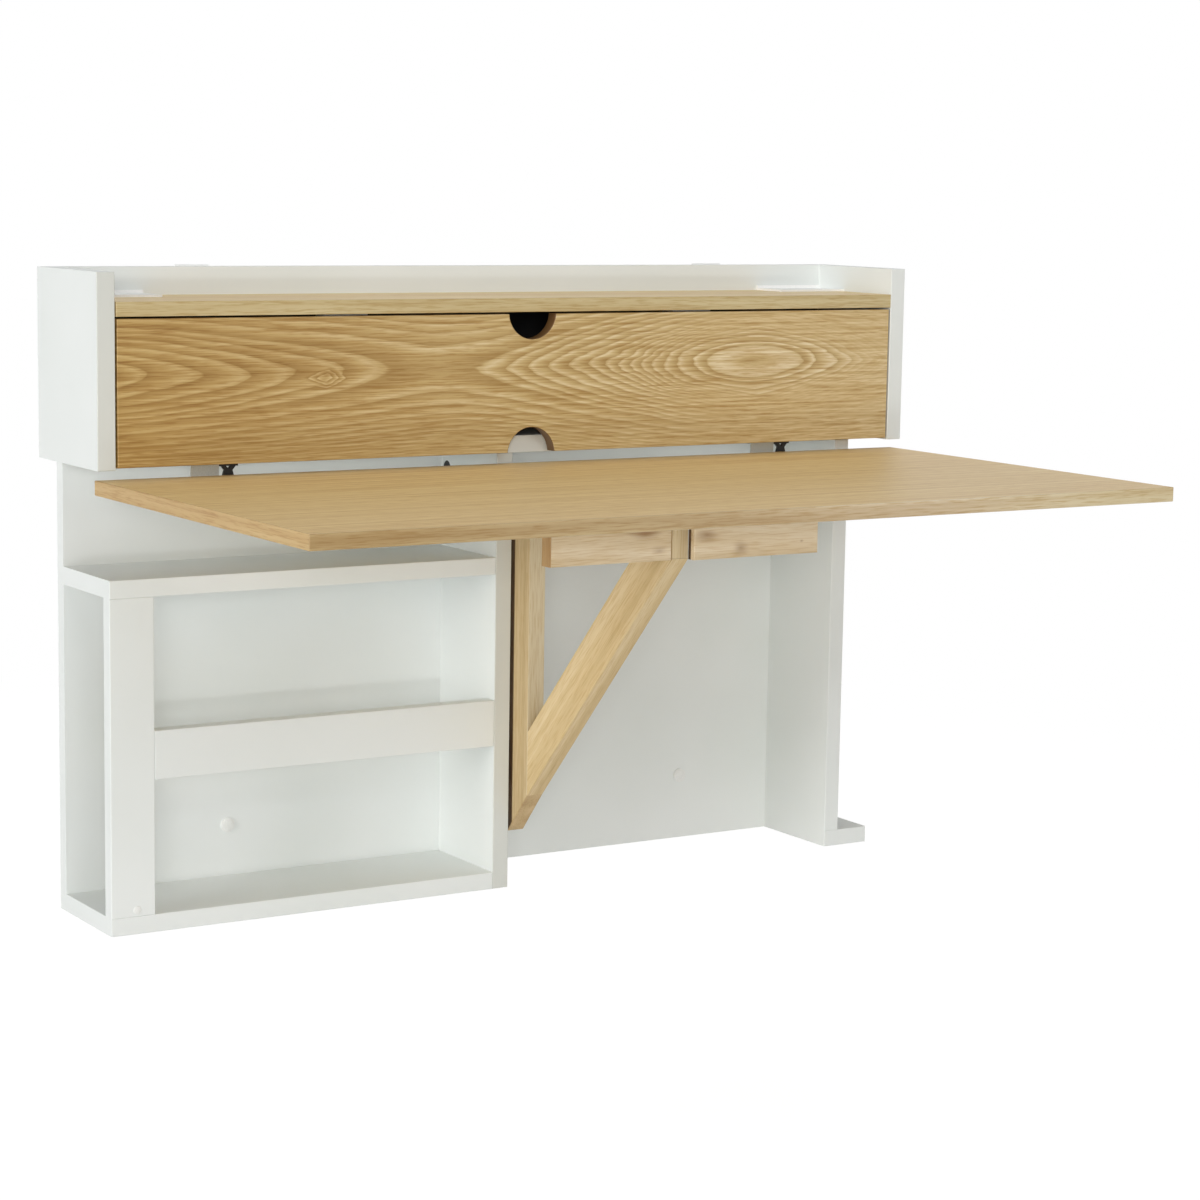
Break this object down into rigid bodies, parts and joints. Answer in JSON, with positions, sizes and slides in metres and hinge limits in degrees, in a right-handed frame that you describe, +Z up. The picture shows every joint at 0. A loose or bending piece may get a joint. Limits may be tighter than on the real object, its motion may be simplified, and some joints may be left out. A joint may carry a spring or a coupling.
{
  "type": "fold down wall desk",
  "caption": "Wall-hung desk: writing leaf on a swing-out gate bracket, drop-front compartment under an open tray, small bookshelf and knee bay.",
  "frame": {"origin": "centre of the four wall screw holes, on the wall plane at the back of the back panel", "axes": "+X to the right seen from the front, +Y into the wall so that the front faces -Y, +Z up"},
  "size_m": [0.928, 0.5847, 0.6335],
  "materials": {
    "white_board": "matt white melamine on board",
    "oak_board": "oak-look board, satin",
    "gate_wood": "pale solid wood, oiled",
    "dowel_wood": "plain beech",
    "black_steel": "black satin coat",
    "steel": "zinc plated, satin",
    "white_metal": "white powder coat",
    "white_plastic": "white moulded plastic"
  },
  "bodies": {
    "carcass": {"back_panel": "white_board", "upper_left_side": "white_board", "upper_right_side": "white_board", "upper_bottom_board": "white_board", "divider_panel": "white_board", "shelf_top_board": "white_board", "shelf_bottom_board": "white_board", "shelf_front_post": "white_board", "shelf_mid_rail": "white_board", "right_side_panel": "white_board", "right_foot_plate": "white_board", "top_shelf": "oak_board", "shelf_angle_plates": "white_metal", "hanger_plates": "white_metal", "wall_cup_washers": "white_plastic", "post_screw_cap": "white_plastic", "leaf_hinge_arms": "black_steel", "leaf_hinge_wings": "steel", "leaf_hinge_pins": "steel", "flap_pivot_pins": "steel", "gate_hinge_fixed_leaves": "steel", "gate_hinge_pins": "steel", "magnet_catches": "white_plastic", "cam_fittings": "black_steel", "carcass_dowels": "dowel_wood", "carcass_hinge_screws": "steel"},
    "leaf": {"table_leaf": "oak_board", "batten_left": "gate_wood", "batten_right": "gate_wood", "leaf_hinge_cups": "black_steel", "leaf_hinge_screws": "steel", "batten_dowels": "dowel_wood"},
    "gate": {"gate_stile": "gate_wood", "gate_top_rail": "gate_wood", "gate_brace": "gate_wood", "gate_hinge_moving_leaves": "steel", "gate_hinge_screws": "steel", "gate_dowels": "dowel_wood"},
    "flap": {"flap_panel": "oak_board", "flap_pivot_bushes": "white_plastic", "catch_strike_plates": "steel"}
  },
  "joints": [
    {"name": "leaf_lift", "type": "hinge", "parent": "carcass", "child": "leaf", "pos_m": [0, -0.1295, 0.122], "axis": [-1, 0, 0], "range_deg": [0, 10]},
    {"name": "gate_swing", "type": "hinge", "parent": "carcass", "child": "gate", "pos_m": [-0.0078, -0.1188, 0], "axis": [0, 0, 1], "range_deg": [0, 90]},
    {"name": "flap_drop", "type": "hinge", "parent": "carcass", "child": "flap", "pos_m": [0, -0.138, 0.156], "axis": [1, 0, 0], "range_deg": [0, 76]}
  ]
}
